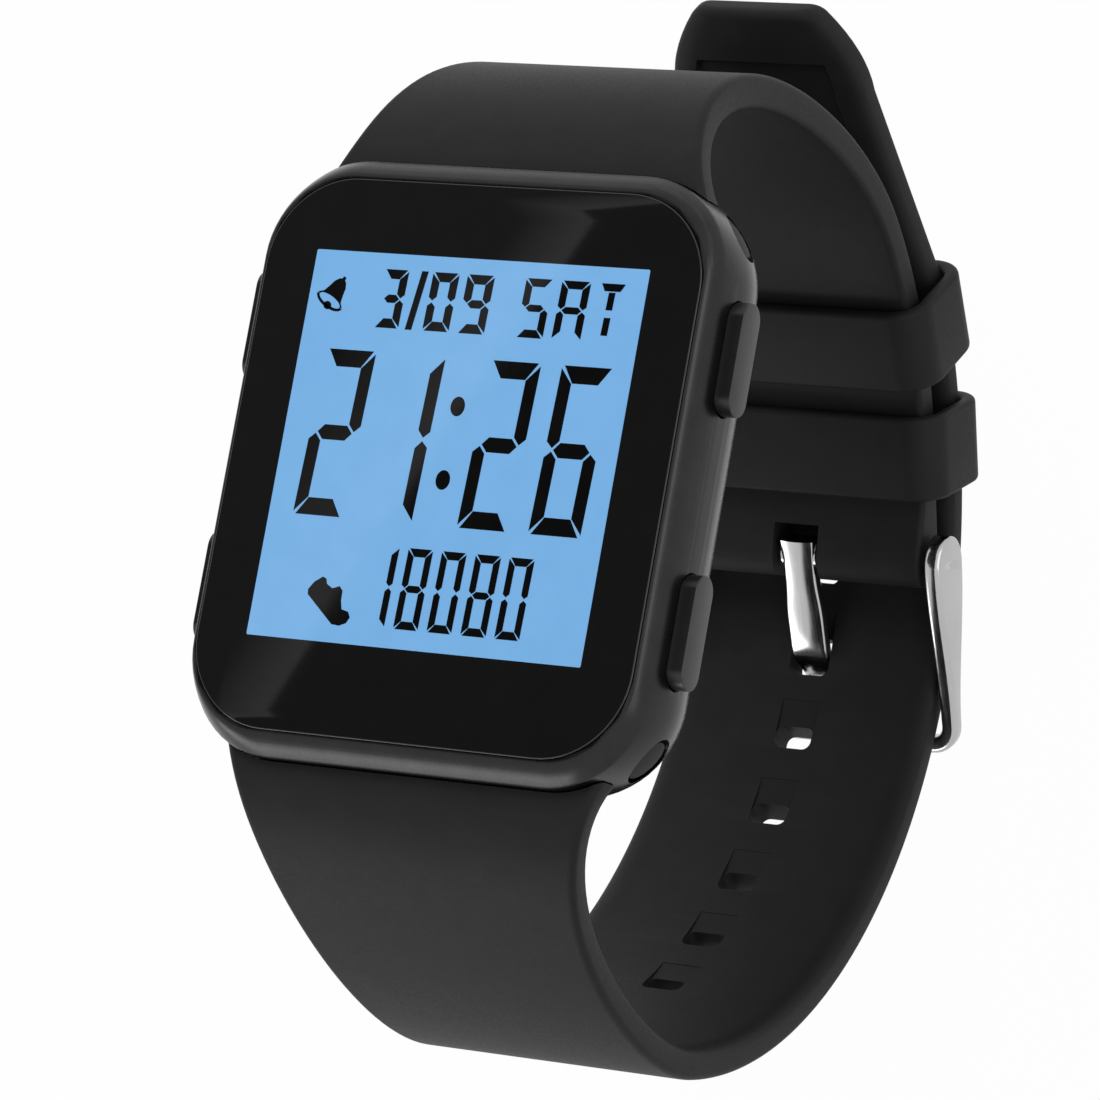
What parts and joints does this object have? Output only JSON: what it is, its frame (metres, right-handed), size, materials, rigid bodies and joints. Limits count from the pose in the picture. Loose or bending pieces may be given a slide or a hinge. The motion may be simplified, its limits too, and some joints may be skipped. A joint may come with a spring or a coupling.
{
  "type": "smartwatch",
  "caption": "Digital wristwatch with a blue LCD, side pushers and a black silicone strap closed into a loop by a tang buckle and keepers.",
  "frame": {"origin": "centre of the bounding box's bottom face, under the dial, where the buckle's far bar meets the surface", "axes": "+Z out of the dial, +Y to 12 o'clock along the strap's loop, +X to 3 o'clock"},
  "size_m": [0.0382, 0.0794, 0.0631],
  "materials": {
    "board": "green solder mask",
    "brass": "plain",
    "chip": "moulded",
    "glass": "polished",
    "gunmetal": "dark gunmetal gloss",
    "ink": "printed black",
    "lcd": "blue back-lit liquid crystal",
    "light_guide": "clear",
    "polished_steel": "polished",
    "rubber": "moulded",
    "silicone": "matt silicone",
    "steel": "plain",
    "white_plastic": "moulded"
  },
  "bodies": {
    "watch": {"case_body": "gunmetal", "front_lens": "glass", "lens_gasket": "rubber", "lens_mask": "ink", "lcd_panel": "lcd", "backlight_panel": "light_guide", "module_frame": "white_plastic", "connector_upper": "rubber", "connector_lower": "rubber", "main_board": "board", "controller_chip": "chip", "quartz_crystal": "steel", "motion_sensor": "chip", "battery_cell": "steel", "battery_clip": "brass", "back_cover": "gunmetal", "back_gasket": "rubber", "buzzer_disc": "brass", "back_screw_upper_right": "steel", "back_screw_lower_right": "steel", "back_screw_upper_left": "steel", "back_screw_lower_left": "steel", "button_spring_upper_right": "steel", "button_seal_upper_right": "rubber", "side_switch_upper_right": "chip", "button_spring_lower_right": "steel", "button_seal_lower_right": "rubber", "side_switch_lower_right": "chip", "button_spring_upper_left": "steel", "button_seal_upper_left": "rubber", "side_switch_upper_left": "chip", "button_spring_lower_left": "steel", "button_seal_lower_left": "rubber", "side_switch_lower_left": "chip", "strap_upper": "silicone", "strap_rod_upper": "steel", "strap_lower": "silicone", "strap_rod_lower": "steel", "fixed_keeper": "silicone", "buckle_bar": "polished_steel"},
    "pusher_upper_right": {"button_upper_right": "gunmetal", "button_clip_upper_right": "steel"},
    "pusher_lower_right": {"button_lower_right": "gunmetal", "button_clip_lower_right": "steel"},
    "pusher_upper_left": {"button_upper_left": "gunmetal", "button_clip_upper_left": "steel"},
    "pusher_lower_left": {"button_lower_left": "gunmetal", "button_clip_lower_left": "steel"},
    "frame": {"buckle_frame": "polished_steel"},
    "tongue": {"buckle_tongue": "polished_steel"},
    "keeper": {"free_keeper": "silicone"}
  },
  "joints": [
    {"name": "press_upper_right", "type": "slide", "parent": "watch", "child": "pusher_upper_right", "axis": [-1, 0, 0], "range_m": [0, 0.0006], "stiffness_N_per_m": 2000, "deforming": ["button_spring_upper_right"]},
    {"name": "press_lower_right", "type": "slide", "parent": "watch", "child": "pusher_lower_right", "axis": [-1, 0, 0], "range_m": [0, 0.0006], "stiffness_N_per_m": 2000, "deforming": ["button_spring_lower_right"]},
    {"name": "press_upper_left", "type": "slide", "parent": "watch", "child": "pusher_upper_left", "axis": [1, 0, 0], "range_m": [0, 0.0006], "stiffness_N_per_m": 2000, "deforming": ["button_spring_upper_left"]},
    {"name": "press_lower_left", "type": "slide", "parent": "watch", "child": "pusher_lower_left", "axis": [1, 0, 0], "range_m": [0, 0.0006], "stiffness_N_per_m": 2000, "deforming": ["button_spring_lower_left"]},
    {"name": "frame_turn", "type": "hinge", "parent": "watch", "child": "frame", "pos_m": [0, 0.00303, 0.00764], "axis": [1, 0, 0], "range_deg": [0, 2.5]},
    {"name": "tongue_lift", "type": "hinge", "parent": "frame", "child": "tongue", "pos_m": [0, 0.00303, 0.00764], "axis": [1, 0, 0], "range_deg": [0, 1]},
    {"name": "keeper_slide", "type": "hinge", "parent": "watch", "child": "keeper", "pos_m": [0, -0.006, 0.0428], "axis": [1, 0, 0], "range_deg": [-2, 3]}
  ]
}
